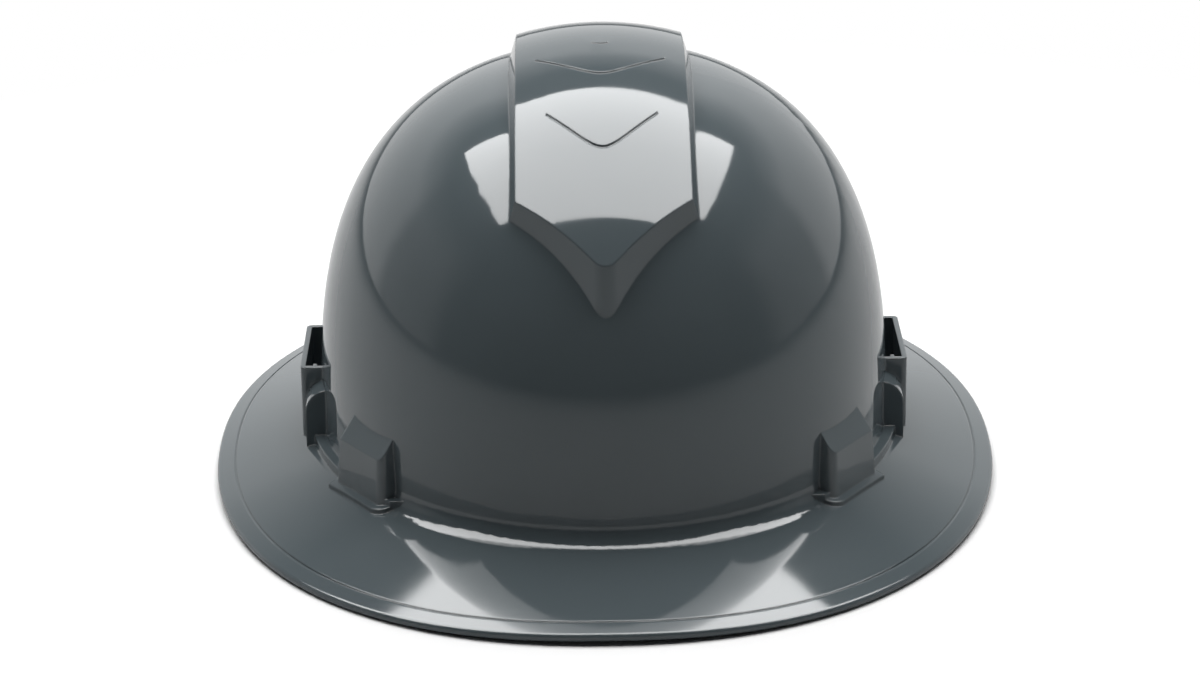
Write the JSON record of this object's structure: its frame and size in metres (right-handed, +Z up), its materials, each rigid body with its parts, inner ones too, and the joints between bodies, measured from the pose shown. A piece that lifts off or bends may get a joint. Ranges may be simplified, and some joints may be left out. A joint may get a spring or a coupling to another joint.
{
  "type": "hard hat",
  "caption": "Full brim hard hat with a raised crown ridge, accessory slots and a four-point suspension whose ratchet knob draws in the headband.",
  "frame": {"origin": "on the floor under the middle of the brim, the hat standing level on its brim", "axes": "+Z up, the front of the hat towards -Y, the wearer's left towards +X"},
  "size_m": [0.274, 0.318, 0.1522],
  "materials": {
    "shell_abs": "gloss",
    "webbing": "woven",
    "band_plastic": "satin",
    "pad_fabric": "brushed",
    "ratchet_plastic": "fine grained",
    "rivet_aluminium": "satin",
    "spring_plastic": "satin",
    "gear_plastic": "satin",
    "knob_plastic": "satin",
    "screw_steel": "plated",
    "hanger_plastic": "satin",
    "stud_plastic": "satin"
  },
  "bodies": {
    "shell": {"shell": "shell_abs", "crown_strap_lower": "webbing", "crown_strap_upper": "webbing", "hanger_front_right": "hanger_plastic", "hanger_rear_right": "hanger_plastic", "hanger_front_left": "hanger_plastic", "hanger_rear_left": "hanger_plastic"},
    "headband": {"headband": "band_plastic", "brow_pad": "pad_fabric", "nape_pad": "pad_fabric", "ratchet_housing": "ratchet_plastic", "ratchet_back_plate": "ratchet_plastic", "housing_rivets": "rivet_aluminium", "pawl_spring": "spring_plastic", "height_stud_front_right": "stud_plastic", "height_stud_rear_right": "stud_plastic", "height_stud_front_left": "stud_plastic", "height_stud_rear_left": "stud_plastic"},
    "nape_strap_left": {"nape_strap_left": "band_plastic"},
    "nape_strap_right": {"nape_strap_right": "band_plastic"},
    "knob": {"adjuster_knob": "knob_plastic", "pinion": "gear_plastic", "knob_screw": "screw_steel"}
  },
  "joints": [
    {"name": "headband_height", "type": "slide", "parent": "shell", "child": "headband", "axis": [0, 0, 1], "range_m": [-0.012, 0]},
    {"name": "knob_turn", "type": "hinge", "parent": "headband", "child": "knob", "pos_m": [0, 0.1, 0.027], "axis": [0, 1, 0], "range_deg": [-150, 150]},
    {"name": "nape_strap_left_draw", "type": "hinge", "parent": "headband", "child": "nape_strap_left", "pos_m": [0, 0.014, 0.027], "axis": [0, 0, 1], "range_deg": [-9.95, 9.95]},
    {"name": "nape_strap_right_draw", "type": "hinge", "parent": "headband", "child": "nape_strap_right", "pos_m": [0, 0.014, 0.027], "axis": [0, 0, 1], "range_deg": [-9.95, 9.95]}
  ],
  "couplings": [
    {"joint": "nape_strap_left_draw", "follows": "knob_turn", "ratio": -0.06605},
    {"joint": "nape_strap_right_draw", "follows": "knob_turn", "ratio": 0.06605}
  ]
}
